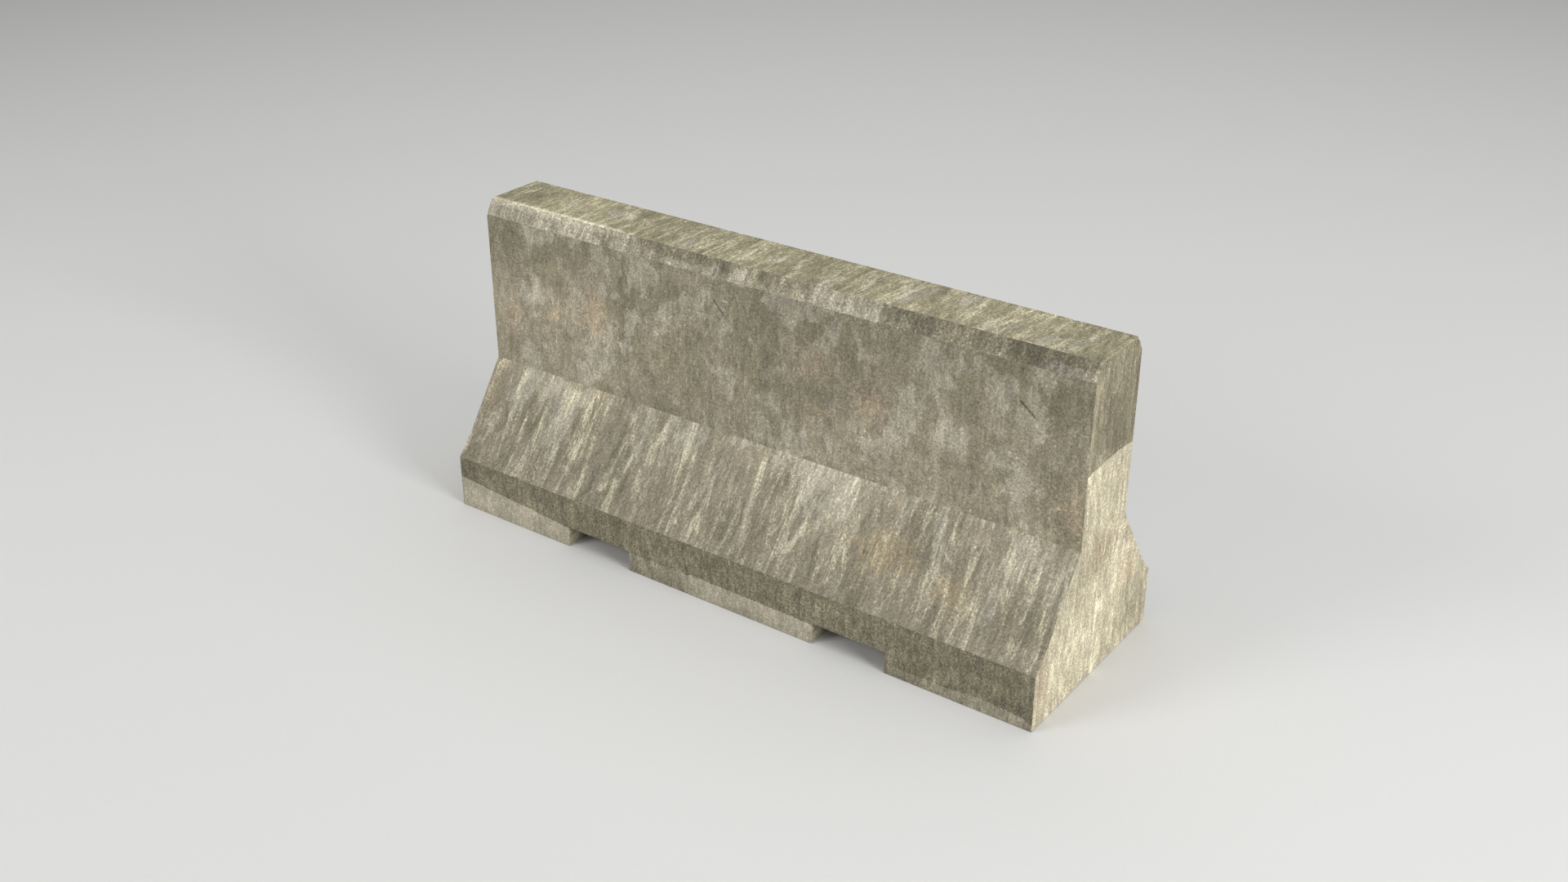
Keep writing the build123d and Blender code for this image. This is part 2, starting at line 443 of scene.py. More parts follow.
def casting_shell():
    """The barrier's sharp-edged skin as a closed grid."""
    shell = Shell()
    columns = column_places()
    rows = profile_places()
    across = graded(-1.0, 1.0, ACROSS_STEP, ACROSS_EDGE_STEPS)
    for side, sheet in ((-1, FRONT), (1, BACK)):
        shell.grid([[(x, side * y, z) for x in columns] for y, z in rows], sheet, solid_side)
    for half_width, z, sheet, wanted in (
        (TOP_HALF, HEIGHT, TOP, None),
        (HALF_BASE, 0.0, BASE, over_foot),
        (HALF_BASE, SLOT_HEIGHT, BASE, over_slot),
    ):
        shell.grid([[(x, u * half_width, z) for x in columns] for u in across], sheet, wanted)
    for x, sheet in ((HALF_LENGTH, RIGHT_END), (-HALF_LENGTH, LEFT_END)):
        shell.grid([[(x, u * y, z) for u in across] for y, z in rows], sheet)
    low_rows = [row for row in rows if row[1] <= SLOT_HEIGHT + TOUCH]
    for x in SLOT_WALLS:
        shell.grid([[(x, u * y, z) for u in across] for y, z in low_rows], SLOT_WALL)
    return shell


def smooth(value, low, high):
    """0 below low, 1 above high and a smooth rise between."""
    t = np.clip((value - low) / (high - low), 0.0, 1.0)
    return t * t * (3 - 2 * t)


def bell(value, middle, half_width):
    """1 in the middle, falling away softly to either side."""
    return np.exp(-(((value - middle) / half_width) ** 2))


def perlin(places, amount, scale, shift):
    """Perlin noise, up to about amount either way, at each place."""
    start = Vector((shift, 0, 0))
    return amount * np.array([noise.noise(Vector(p) * scale + start) for p in places])


def dip(places, depth, scale, shift):
    """Perlin noise from about nothing to depth at each place."""
    return depth / 2 + perlin(places, depth / 2, scale, shift)


def side_plane(a, b, side):
    """(normal, distance) of the side's face between two stations of the profile."""
    along = np.array([b[0] - a[0], b[1] - a[1]])
    normal = np.array([along[1], -along[0]]) / np.hypot(*along)
    return np.array([0.0, side * normal[0], normal[1]]), float(normal @ a)


def casting_planes(p):
    """Every face's plane with a mask of the places whose edge it may round."""
    x, y, z = p.T
    low, middle = z <= LEDGE_HEIGHT, (z > LEDGE_HEIGHT) & (z < WAIST_HEIGHT)
    high = z >= WAIST_HEIGHT
    everywhere = np.full(len(z), True)
    right, up = np.array([1.0, 0.0, 0.0]), np.array([0.0, 0.0, 1.0])
    planes = [
        (up, HEIGHT, high),
        (-up, 0.0, low),
        (right, HALF_LENGTH, everywhere),
        (-right, HALF_LENGTH, everywhere),
    ]
    masks = (low, low, middle, high, high)
    for side in (-1, 1):
        mine = y * side > 0
        for a, b, mask in zip(PROFILE[1:], PROFILE[2:], masks):
            normal, distance = side_plane(a, b, side)
            planes.append((normal, distance, mask & mine))
    foot = z < SLOT_HEIGHT - TOUCH
    for start, stop in SLOTS:
        before, after = x < start + TOUCH, x > stop - TOUCH
        over = ~foot & (x > start - TOUCH) & (x < stop + TOUCH)
        planes.append((-up, -SLOT_HEIGHT, over & low))
        planes.append((right, start, foot & before & (x > start - WALL_REACH)))
        planes.append((-right, -stop, foot & after & (x < stop + WALL_REACH)))
    return planes


def chip_edges():
    """The edges that get knocked, each as its two ends; those named more than once are knocked more."""
    edges = []
    for side in (-1, 1):
        for y, z, weight in (
            (TOP_HALF, HEIGHT, 3),
            (HALF_BASE, TOE_HEIGHT, 3),
            (HALF_BASE, 0.0, 3),
            (WEB_HALF, BEVEL_HEIGHT, 1),
        ):
            edges += [((-HALF_LENGTH, side * y, z), (HALF_LENGTH, side * y, z))] * weight
        for x in (-HALF_LENGTH, HALF_LENGTH):
            for (y0, z0), (y1, z1) in zip(PROFILE[1:], PROFILE[2:]):
                edges.append(((x, side * y0, z0), (x, side * y1, z1)))
        for x in SLOT_WALLS:
            edges.append(((x, side * HALF_BASE, 0.0), (x, side * HALF_BASE, SLOT_HEIGHT)))
    return edges


def drawn(rng, limits):
    """A number drawn evenly between two limits."""
    return limits[0] + (limits[1] - limits[0]) * rng.random()


def chips():
    """(place, reach, depth) of small knocks along the long arrises, ends and slot corners."""
    rng = np.random.default_rng(CHIP_SEED)
    edges = chip_edges()
    found = []
    for _ in range(CHIP_COUNT):
        a, b = edges[rng.integers(len(edges))]
        place = np.array(a) + (np.array(b) - np.array(a)) * drawn(rng, CHIP_SPOT)
        reach = CHIP_REACH[0] + (CHIP_REACH[1] - CHIP_REACH[0]) * rng.random() ** 2
        found.append((place, reach, reach * drawn(rng, CHIP_DEPTH)))
    return found


def arris_radii(p):
    """How far each place's edge is rounded: a little, but not at all in a slot's inner corner."""
    radii = ARRIS_RADIUS * (1.0 + perlin(p, *ARRIS_SWELL) + perlin(p, *ARRIS_NICKS))
    for x in SLOT_WALLS:
        corner = np.hypot(p[:, 0] - x, p[:, 2] - SLOT_HEIGHT)
        radii *= smooth(corner, 0.0, CORNER_REACH)
    return np.clip(radii, LEAST_RADIUS, MOST_RADIUS)


def rounded(p, radii):
    """Each place moved on to the casting with its outer edges rounded, and the way out from there."""
    planes = casting_planes(p)
    q = p.copy()
    for _ in range(ROUNDING_PASSES):
        for normal, distance, mask in planes:
            over = q[mask] @ normal - (distance - radii[mask])
            q[mask] -= np.maximum(over, 0.0)[:, None] * normal
    way = p - q
    length = np.linalg.norm(way, axis=1)
    length[length < TOUCH] = 1.0
    way /= length[:, None]
    return q + way * radii[:, None], way


def chipped(place, base, way):
    """The places with each chip's shallow, rough hollow cut out of its arris."""
    for middle, reach, depth in chips():
        away = np.linalg.norm(base - middle, axis=1)
        out = way[np.argmin(away)]
        near = away < CHIP_RIM * reach
        spread = away[near] / reach
        floor_depth = depth * (1.0 - spread**2 + perlin(base[near], *CHIP_ROUGHNESS))
        over = (place[near] - middle) @ out + floor_depth
        place[near] -= np.maximum(over, 0.0)[:, None] * out
    return place


def scratch_depth(p):
    """How deep the two scratches cut at each place of the front."""
    depth = np.zeros(len(p))
    front = (p[:, 1] < 0) & (p[:, 2] > WAIST_HEIGHT)
    spot = p[front][:, (0, 2)]
    for line in SCRATCHES:
        ends = np.array(line)
        for a, b in zip(ends, ends[1:]):
            along = b - a
            t = np.clip((spot - a) @ along / (along @ along), 0.0, 1.0)
            away = np.linalg.norm(spot - a - t[:, None] * along, axis=1)
            depth[front] = np.maximum(depth[front], SCRATCH_DEPTH * bell(away, 0.0, SCRATCH_WIDTH))
    return depth


def near_scratch(x, z):
    """If a place of the web is close to one of the scratches."""
    for line in SCRATCHES:
        (left, right), (low, high) = [(min(c), max(c)) for c in zip(*line)]
        beside = left - SCRATCH_MARGIN < x < right + SCRATCH_MARGIN
        if beside and low - SCRATCH_MARGIN < z < high + SCRATCH_MARGIN:
            return True
    return False


def refined(shell):
    """The shell as a bmesh, finer where a chip or a scratch needs it."""
    bm = bmesh.new()
    sheet = bm.faces.layers.int.new("sheet")
    points = [bm.verts.new(p) for p in shell.places]
    for corners, kind in zip(shell.faces, shell.sheets):
        face = bm.faces.new([points[k] for k in corners])
        face[sheet] = kind
    spots = [(Vector(place), reach) for place, reach, _ in chips()]
    fine, finest = [], []
    for face in bm.faces:
        centre = face.calc_center_median()
        if face[sheet] == FRONT and near_scratch(centre.x, centre.z):
            finest.append(face)
        elif any((centre - place).length < reach * CHIP_RIM for place, reach in spots):
            fine.append(face)
    for faces, cuts in ((fine, CHIP_CUTS), (finest, SCRATCH_CUTS)):
        edges = list(dict.fromkeys(e for f in faces for e in f.edges))
        bmesh.ops.subdivide_edges(bm, edges=edges, cuts=cuts, use_grid_fill=True)
    bmesh.ops.recalc_face_normals(bm, faces=bm.faces)
    return bm


# ================================================================ what the mesh tells its material
def band_of(height):
    """0 for the toe, 1 for the slope, 2 for the web and 3 for the bevel."""
    return np.digitize(height, (TOE_HEIGHT, WAIST_HEIGHT, BEVEL_HEIGHT))


class Corners:
    """Where every corner of every face lies, and the sheet and the band of its face."""

    def __init__(self, mesh, sheets, base):
        self.vertex = np.empty(len(mesh.loops), int)
        mesh.loops.foreach_get("vertex_index", self.vertex)
        totals = np.array([f.loop_total for f in mesh.polygons])
        starts = np.concatenate([[0], np.cumsum(totals)[:-1]])
        x, y, z = base[self.vertex].T
        middle = np.repeat(np.add.reduceat(z, starts) / totals, totals)
        kind = np.repeat(np.array(sheets), totals)
        self.x, self.y, self.z, self.kind = x, y, z, kind
        self.side = (kind == FRONT) | (kind == BACK)
        self.end = (kind == RIGHT_END) | (kind == LEFT_END)
        self.top = kind == TOP
        self.band = np.where(self.side, band_of(middle), -1)
        self.toe, self.slope, self.bevel = self.band == 0, self.band == 1, self.band == 3
        self.inner_z = middle + (z - middle) * INSIDE
        # the back's stains are the front's, moved and stretched, and the left end's are mirrored
        moved = BACK_STRETCH * x + BACK_SWAY * np.sin(BACK_WAVES * x) + BACK_SHIFT
        self.place = np.where(kind == BACK, moved, x)
        self.across = np.where(kind == LEFT_END, -y, y)


def path_length(z):
    """Distance down the side from the top arris to each height."""
    heights = [point[1] for point in PROFILE]
    lengths = [0.0]
    for (y0, z0), (y1, z1) in zip(PROFILE, PROFILE[1:]):
        lengths.append(lengths[-1] + math.hypot(y1 - y0, z1 - z0))
    return lengths[-1] - np.interp(z, heights, lengths)


def lay_of(c):
    """The sheet's own coordinates: along it, down it, and a layer of its own for each sheet and band."""
    along = np.where(c.end | (c.kind == SLOT_WALL), c.y, c.x)
    flat = c.top | (c.kind == BASE)
    down = np.where(c.side, path_length(c.z), np.where(flat, c.y, -c.z))
    return along, down, c.kind * SHEET_GAP + c.band * BAND_GAP


def blobs(places, a, b):
    """1 in the middle of the nearest place, 0 at its rim and down to -1 away from them all."""
    field = np.full(len(a), -1.0)
    for along, up, half_length, half_height, strength in places:
        away = np.hypot((a - along) / half_length, (b - up) / half_height)
        field = np.maximum(field, strength * (1.0 - away))
    return field


def glow(places, a, b):
    """The sum of soft areas."""
    total = np.zeros(len(a))
    for along, up, half_length, half_height, strength in places:
        total += strength * bell(a, along, half_length) * bell(b, up, half_height)
    return total


def runs(places, a, b):
    """Narrow upright runs, faded at both ends."""
    field = np.zeros(len(a))
    for along, half_width, lowest, highest, strength in places:
        fade = smooth(b - lowest, *RUN_START) * (1 - smooth(b - highest, *RUN_STOP))
        field = np.maximum(field, strength * bell(a, along, half_width) * fade)
    return field


def banded(draw, places, c, z, field):
    """The field with the side's places drawn on it; each keeps to its band, as the light on it does."""
    for band in range(4):
        inside = c.band == band
        mine = [p for p in places if band_of(p[1]) == band]
        field[inside] = draw(mine, c.place[inside], z[inside])
    return field


def stains_of(c):
    """How far each corner is into a pale, a dark and a warm stain."""
    stains = []
    for places, end_places in ((PALE, END_PALE), (DARK, END_DARK), (WARM, END_WARM)):
        on_side = banded(blobs, places, c, c.z, np.full(len(c.z), -1.0))
        stains.append(np.where(c.end, blobs(end_places, c.across, c.z), on_side))
    stains[0] = stains[0] + np.where(c.slope, FILM_RISE * (c.z - FILM_HEIGHT), 0.0)
    return stains


def painted_highlight_of(c):
    """The painted highlight along the left half of the front top arris: its part on the top and on the
    bevel.
    """
    top_highlight = (1 - smooth(c.y + TOP_HALF, *HIGHLIGHT_ON_TOP)) * (1 - smooth(c.x, *TOP_HIGHLIGHT_END))
    bevel_highlight = smooth(c.z - BEVEL_HEIGHT, *HIGHLIGHT_ON_BEVEL) * (1 - smooth(c.x, *BEVEL_HIGHLIGHT_END))
    return np.where(c.top, top_highlight, 0.0), np.where(c.bevel & (c.kind == FRONT), bevel_highlight, 0.0)


def cream_of(c):
    """How far each corner is into a slope's cream run, a top's cream bar or the painted highlight on the
    top.
    """
    top_highlight, _ = painted_highlight_of(c)
    bars = [(at, width, -1.0, 1.0, strength) for at, width, strength in TOP_RUNS]
    # the top's strip of painted highlight is painted as cream too
    on_top = np.maximum(runs(bars, c.x, c.y), HIGHLIGHT_CREAM * top_highlight)
    return np.where(c.top, on_top, np.where(c.slope, runs(RUNS, c.place, c.z), 0.0))


def line_fields_of(c):
    """How far each corner is below the toe's line or above the end's, and the toe's pale strength."""
    line_x, line_z, line_s = np.array(TOE_LINE_POINTS).T
    toe_line = np.interp(c.place, line_x, line_z)
    end_line = END_LINE + END_WAVE * np.cos(c.y * END_WAVES) - END_DROP * (c.kind == LEFT_END)
    line_field = np.where(c.toe, (toe_line - c.z) * LINE_FIELD_SLOPE, -1.0)
    line_field = np.where(c.end, (c.z - end_line) * LINE_FIELD_SLOPE, line_field)
    return line_field, np.where(c.toe, np.interp(c.place, line_x, line_s), 0.0)


def brightness_of(c, base):
    """How light the stone is at each corner, as a factor."""
    heights, levels = np.array(WASH).T
    soft = banded(glow, GLOWS, c, c.inner_z, np.zeros(len(c.z)))
    bars = [(along, 0.0, length, FAR, strength) for along, length, strength in TOP_GLOWS]
    soft[c.top] = glow(bars, c.x[c.top], c.z[c.top])
    soft[c.end] = glow(END_GLOWS, c.across[c.end], c.z[c.end])
    # painted highlight along the front top arris, and painted shade in the scratches' grooves
    top_highlight, bevel_highlight = painted_highlight_of(c)
    groove = scratch_depth(base)[c.vertex] / SCRATCH_DEPTH
    level = np.where(c.side, np.interp(c.inner_z, heights, levels), 1.0)
    return level + soft + HIGHLIGHT_BRIGHTNESS * (bevel_highlight + top_highlight) - SCRATCH_SHADE * groove


def paint(mesh, sheets, base):
    """Writes what the concrete's material reads, at every corner of every face."""
    c = Corners(mesh, sheets, base)
    line_field, below_line_strength = line_fields_of(c)
    drip = np.where(c.side, runs(DRIPS, c.place, c.z), 0.0)
    light = brightness_of(c, base)
    for name, values in (
        ("lay", lay_of(c)),
        ("zone", (c.slope, c.top, c.end)),
        ("stain", stains_of(c)),
        ("run", (cream_of(c), drip, line_field)),
        ("band", (c.toe, below_line_strength, c.bevel)),
        ("light", (light, light, light)),
    ):
        layer = mesh.attributes.new(name, "FLOAT_VECTOR", "CORNER")
        layer.data.foreach_set("vector", np.stack(values, 1).astype(np.float32).ravel())


def concrete_block():
    """The casting as it is seen: rounded and chipped arrises, slightly hollow faces, two scratches."""
    bm = refined(casting_shell())
    base = np.array([v.co for v in bm.verts])
    sheet = bm.faces.layers.int["sheet"]
    sheets = [f[sheet] for f in bm.faces]
    mesh = bpy.data.meshes.new("concrete_block")
    bm.to_mesh(mesh)
    bm.free()
    place, way = rounded(base, arris_radii(base))
    place = chipped(place, base, way)
    inward = dip(base, *HOLLOW) + dip(base, *RIPPLE) + scratch_depth(base)
    place = place - way * inward[:, None]
    mesh.vertices.foreach_set("co", place.astype(np.float32).ravel())
    mesh.polygons.foreach_set("use_smooth", np.ones(len(mesh.polygons), bool))
    mesh.update()
    paint(mesh, sheets, base)
    new = bpy.data.objects.new("concrete_block", mesh)
    bpy.context.scene.collection.objects.link(new)
    return new


# ================================================================ materials
class Graph:
    """A material's nodes, with a short call for each kind that these materials use."""

    def __init__(self, name):
        self.material = bpy.data.materials.new(name)
        self.material.use_nodes = True
        self.tree = self.material.node_tree
        self.tree.nodes.clear()

    def node(self, kind, inputs, **settings):
        """A new node with its settings; inputs names or numbers its sockets and what goes into each."""
        node = self.tree.nodes.new(kind)
        for name, value in settings.items():
            setattr(node, name, value)
        for name, value in inputs.items():
            if isinstance(value, bpy.types.NodeSocket):
                self.tree.links.new(value, node.inputs[name])
            else:
                node.inputs[name].default_value = value
        return node

    def maths(self, operation, *values, clamp=False):
        inputs = dict(enumerate(values))
        return self.node("ShaderNodeMath", inputs, operation=operation, use_clamp=clamp).outputs[0]

    def vector(self, operation, a, b):
        return self.node("ShaderNodeVectorMath", {0: a, 1: b}, operation=operation).outputs[0]

    def times(self, *values):
        """The product of all the values."""
        product = values[0]
        for value in values[1:]:
            product = self.maths("MULTIPLY", product, value)
        return product

    def plus(self, *values):
        """The sum of all the values."""
        total = values[0]
        for value in values[1:]:
            total = self.maths("ADD", total, value)
        return total

    def around(self, value, amount):
        """Noise from 0 to 1 as a swing of amount either side of nothing."""
        return self.maths("MULTIPLY", self.maths("SUBTRACT", value, 0.5), 2.0 * amount)

    def swung(self, patterns, amounts):
        """The sum of the named patterns, each as a swing of its own amount."""
        return self.plus(*[self.around(patterns[name], amount) for name, amount in amounts.items()])

    def weighed(self, marks, amounts):
        """The sum of the named marks, each times its own amount."""
        return self.plus(*[self.times(marks[name], amount) for name, amount in amounts.items()])

    def noise(self, vector, scale, detail, rough, twist=0.0):
        inputs = {"Vector": vector, "Scale": scale, "Detail": detail, "Roughness": rough}
        inputs["Distortion"] = twist
        return self.node("ShaderNodeTexNoise", inputs, noise_dimensions="3D").outputs["Fac"]

    def dots(self, vector, scale, radius, rarity):
        """Scattered round dots, one in each cell whose luck is above rarity; radius is in cells."""
        cells = self.node("ShaderNodeTexVoronoi", {"Vector": vector, "Scale": scale}, feature="F1")
        luck = self.node("ShaderNodeSeparateColor", {0: cells.outputs["Color"]}).outputs[0]
        chosen = self.ramp(luck, rarity - 0.01, rarity + 0.01)
        return self.times(self.ramp(cells.outputs["Distance"], radius, radius * 0.55), chosen)

    def turned(self, vector, angle, stretch):
        """The vector turned by angle about its third part, then stretched."""
        inputs = {"Vector": vector, "Rotation": (0.0, 0.0, angle)}
        turned = self.node("ShaderNodeMapping", inputs, vector_type="TEXTURE").outputs[0]
        return self.vector("MULTIPLY", turned, stretch)

    def ramp(self, value, low, high, start=0.0, stop=1.0):
        """A smooth change from start, where the value is low, to stop, where it is high."""
        inputs = {"Value": value, "From Min": low, "From Max": high, "To Min": start, "To Max": stop}
        return self.node("ShaderNodeMapRange", inputs, interpolation_type="SMOOTHSTEP").outputs["Result"]

    def mix(self, share, a, b):
        inputs = {0: share, 6: a, 7: b}
        return self.node("ShaderNodeMix", inputs, data_type="RGBA", blend_type="MIX").outputs[2]

    def scaled(self, colour, amount):
        """The colour times a number."""
        inputs = {0: colour[:3] if isinstance(colour, tuple) else colour, "Scale": amount}
        return self.node("ShaderNodeVectorMath", inputs, operation="SCALE").outputs[0]

    def carried(self, name):
        """A vector that the mesh carries at its corners."""
        return self.node("ShaderNodeAttribute", {}, attribute_name=name).outputs["Vector"]

    def parts(self, name):
        """The three parts of a vector that the mesh carries."""
        return self.node("ShaderNodeSeparateXYZ", {0: self.carried(name)}).outputs

    def place(self):
        """The place on the object, in its own coordinates."""
        return self.node("ShaderNodeTexCoord", {}).outputs["Object"]

    def bump(self, height, distance):
        return self.node("ShaderNodeBump", {"Height": height, "Distance": distance}).outputs[0]

    def surface(self, **inputs):
        """The finished material, from the inputs of its one shader."""
        named = {name.replace("_", " "): value for name, value in inputs.items()}
        shader = self.node("ShaderNodeBsdfPrincipled", named)
        self.node("ShaderNodeOutputMaterial", {0: shader.outputs[0]})
        return self.material


def rgb(red, green, blue):
    return (red, green, blue, 1.0)


STONE = rgb(0.335, 0.300, 0.217)
# lighter copies of the stone for the slope, the top and the ends: partly their own tone, partly painted
# light
LIT_SLOPE_STONE = rgb(0.350, 0.313, 0.230)
LIT_TOP_STONE = rgb(0.370, 0.336, 0.219)
LIT_END_STONE = rgb(0.530, 0.476, 0.340)
PALE_FILM = rgb(0.438, 0.402, 0.314)
# lighter, warmer copy of the film for the ends: partly its own tint, partly painted light
LIT_END_FILM = rgb(0.438 * 1.38, 0.402 * 1.36, 0.314 * 1.26)
OLIVE = rgb(0.205, 0.187, 0.121)
PINK = rgb(0.430, 0.340, 0.235)
OCHRE = rgb(0.430, 0.355, 0.220)
CREAM = rgb(0.575, 0.532, 0.395)
# lighter copy of the cream for the ends, as painted light
LIT_END_CREAM = rgb(0.575 * 1.15, 0.532 * 1.15, 0.395 * 1.15)
BELOW_LINE_PALE = rgb(0.530, 0.480, 0.375)
SPECK = rgb(0.950, 0.930, 0.860)
SOOT = rgb(0.130, 0.115, 0.080)
END_SHADE = (0.460, 0.455, 0.430)
MILL_SCALE, RUST = rgb(0.085, 0.080, 0.078), rgb(0.225, 0.092, 0.038)
WIRE, WIRE_RUST = rgb(0.16, 0.155, 0.15), rgb(0.24, 0.12, 0.06)
PLASTIC, CEMENT_DUST = rgb(0.20, 0.205, 0.21), rgb(0.42, 0.40, 0.36)
FLOOR_GREY = rgb(0.74, 0.74, 0.73)

# the concrete's patterns: scale on plain bands, scale on streaked bands, detail, roughness, twist
PATTERNS = {
    "cloud": ((5.0, 3.6, 1.0), (5.5, 2.8, 1.0), 8.0, 0.85, 0.20),
    "crust": ((30.0, 22.0, 1.0), (34.0, 15.0, 1.0), 6.0, 0.90, 0.50),
    "flake": ((9.0, 6.5, 1.0), (12.0, 5.5, 1.0), 10.0, 0.60, 0.60),
    "grain": ((95.0, 16.0, 1.0), (80.0, 18.0, 1.0), 1.5, 0.85, 0.15),
    "streak": ((30.0, 5.0, 1.0), (25.0, 2.8, 1.0), 5.0, 0.76, 1.10),
}
SAND = (150.0, 3.0, 0.95, 0.30)
BRUSH_ANGLE, BRUSH_STRETCH = math.radians(28), (150.0, 26.0, 1.0)
# how streaked each zone is
STREAKED = {"slope": 1.0, "top": 0.80, "end": 0.80, "bevel": 0.50, "toe": 0.35}
# how far each pattern swings the tone, and how much more or less it does in each zone
TONE = {"cloud": 0.54, "crust": 0.70, "sand": 1.15, "grain": 0.32, "brushed": 0.16}
STREAK_TONE = 0.70
CONTRAST = 1.22
ZONE_CONTRAST = {"below": -0.55, "toe": 0.38, "slope": -0.12, "end": 0.10, "bevel": 0.30, "top": 0.20}
LEVEL = 0.915
# marks made ragged: the patterns that do it, where the edge starts and is full, and the most it covers
RAGGED = {
    "dark": ({"flake": -2.6, "crust": 0.8}, (-0.15, 0.35), 0.48),
    "warm": ({"crust": 2.6, "cloud": 1.2}, (-0.20, 0.90), 0.70),
    "cream": ({"streak": 1.6, "crust": 0.7, "sand": 0.5}, (0.08, 0.62), 0.85),
    "drip": ({"streak": 1.3, "crust": 1.2}, (0.30, 1.10), 0.40),
}
DARK_WEIGHT, BEVEL_DARK_WEIGHT = 0.60, 1.30
END_DARK_SHARE = 0.22 / 0.48
CREAM_WEIGHT = 0.42
# lime film: what makes it ragged, its edge, its outline's two edges, and what they cover
FILM_SWINGS = {"flake": 3.4, "crust": 0.5}
FILM_WEIGHT, BEVEL_FILM_WEIGHT = 0.60, 0.90
FILM_EDGE, OUTLINE_START, OUTLINE_STOP = (0.02, 0.06), (-0.06, 0.02), (0.06, 0.20)
FILM_COVER, SLOPE_FILM_COVER, FILM_WORN, OUTLINE_COVER = 0.68, 0.25, 0.4, 0.8
# dried-damp rings: how far outside the film they lie, how wide they are, how much they cover and where
RING_AWAY, RING_WIDTH, RING_COVER = 0.62, (0.13, 0.03), 0.50
RING_CLOUD, RING_STREAKED = (0.50, 0.60), (0.0, 0.4, 1.0, 0.2)
# the lines on the toe and the ends: how ragged, the edge, and how much they cover
TOE_RAGGED, TOE_EDGE = 0.16, (-0.02, 0.05)
END_RAGGED, END_EDGE = 0.20, (-0.03, 0.05)
TOE_OLIVE, BELOW_LINE_COVER = 0.72, 0.85
# dots: how many cells to a metre, radius in cells, rarity
PORES, LIME_SPECKS = (34.0, 0.075, 0.62), (12.0, 0.030, 0.74)
PORE_SHADE, SPECK_COVER = 0.50, 0.9
ROUGHNESS, FILM_ROUGHNESS, ROUGHNESS_SWINGS = 0.90, -0.12, {"cloud": 0.15, "grain": 0.10}
# what raises the surface for the bump
RELIEF = {"grain": 0.25, "brushed": 0.15, "sand": 0.60, "crust": 0.90}
FILM_RELIEF = {"film": 0.25, "outline": 0.15, "pores": -2.5}
CONCRETE_BUMP = 0.0009


def concrete_marks(g):
    """What the mesh carries for the concrete, by name."""
    marks = {}
    for layer, names in (
        ("zone", ("slope", "top", "end")),
        ("stain", ("pale", "dark", "warm")),
        ("run", ("cream", "drip", "line_field")),
        ("band", ("toe", "below_line_strength", "bevel")),
    ):
        marks.update(zip(names, g.parts(layer)))
    marks["light"] = g.parts("light")[0]
    marks["streaked"] = g.weighed(marks, STREAKED)
    return marks


def concrete_patterns(g, lay, streaked):
    """The concrete's noises, by name."""
    patterns = {}
    for name, (plain, stretched, *shape) in PATTERNS.items():
        scale = g.mix(streaked, plain + (1.0,), stretched + (1.0,))
        patterns[name] = g.noise(g.vector("MULTIPLY", lay, scale), 1.0, *shape)
    patterns["sand"] = g.noise(lay, *SAND)
    brushed = g.turned(lay, BRUSH_ANGLE, BRUSH_STRETCH)
    patterns["brushed"] = g.noise(brushed, scale=1.0, detail=1.0, rough=0.80)
    return patterns


def concrete_tone(g, marks, patterns):
    """The stone's lightness as a factor."""
    streaks = g.times(g.around(patterns["streak"], STREAK_TONE), marks["streaked"])
    swing = g.plus(g.swung(patterns, TONE), streaks)
    contrast = g.plus(CONTRAST, g.weighed(marks, ZONE_CONTRAST))
    return g.times(g.maths("POWER", math.e, g.times(swing, contrast)), marks["light"], LEVEL)


def by_zone(g, mark, plain, marked):
    """One number where the mark is 0 and another where it is 1."""
    return g.ramp(mark, 0.0, 1.0, plain, marked)


def ragged(g, marks, patterns, name, weight=1.0):
    """How much a kind of mark covers at each place."""
    swings, edge, most = RAGGED[name]
    field = g.plus(g.times(marks[name], weight), g.swung(patterns, swings))
    return g.times(g.ramp(field, *edge), most)


def own_stone(g, marks, patterns):
    """Each zone's stone with its olive patches; the slope, top and end stones are lighter partly as
    painted light.
    """
    stone = g.mix(marks["slope"], STONE, LIT_SLOPE_STONE)
    stone = g.mix(marks["top"], stone, LIT_TOP_STONE)
    stone = g.mix(marks["end"], stone, LIT_END_STONE)
    weight = by_zone(g, marks["bevel"], DARK_WEIGHT, BEVEL_DARK_WEIGHT)
    share = by_zone(g, marks["end"], 1.0, END_DARK_SHARE)
    return g.mix(g.times(ragged(g, marks, patterns, "dark", weight), share), stone, OLIVE)


def filmed(g, marks, patterns, colour):
    """The colour under lime film with ragged outlines; also the film's share and its outline's."""
    weight = by_zone(g, marks["bevel"], FILM_WEIGHT, BEVEL_FILM_WEIGHT)
    field = g.plus(g.times(marks["pale"], weight), g.swung(patterns, FILM_SWINGS))
    film = g.ramp(field, *FILM_EDGE)
    outline = g.times(g.ramp(field, *OUTLINE_START), g.ramp(field, *OUTLINE_STOP, 1.0, 0.0))
    cover = g.plus(FILM_COVER, g.times(marks["slope"], SLOPE_FILM_COVER))
    worn = g.maths("ADD", cover, g.around(patterns["crust"], FILM_WORN), clamp=True)
    share = g.maths("MAXIMUM", g.times(film, worn), g.times(outline, OUTLINE_COVER))
    # the ends take the film's lighter copy, partly painted light
    film_colour = g.mix(marks["end"], PALE_FILM, LIT_END_FILM)
    colour = g.mix(share, colour, film_colour)

    # thin wavy marks where damp has dried
    ring = g.ramp(g.maths("ABSOLUTE", g.plus(field, RING_AWAY)), *RING_WIDTH)
    plainly = g.ramp(marks["streaked"], *RING_STREAKED)
    ring = g.times(ring, g.ramp(patterns["cloud"], *RING_CLOUD), plainly, RING_COVER)
    return g.mix(ring, colour, film_colour), film, outline


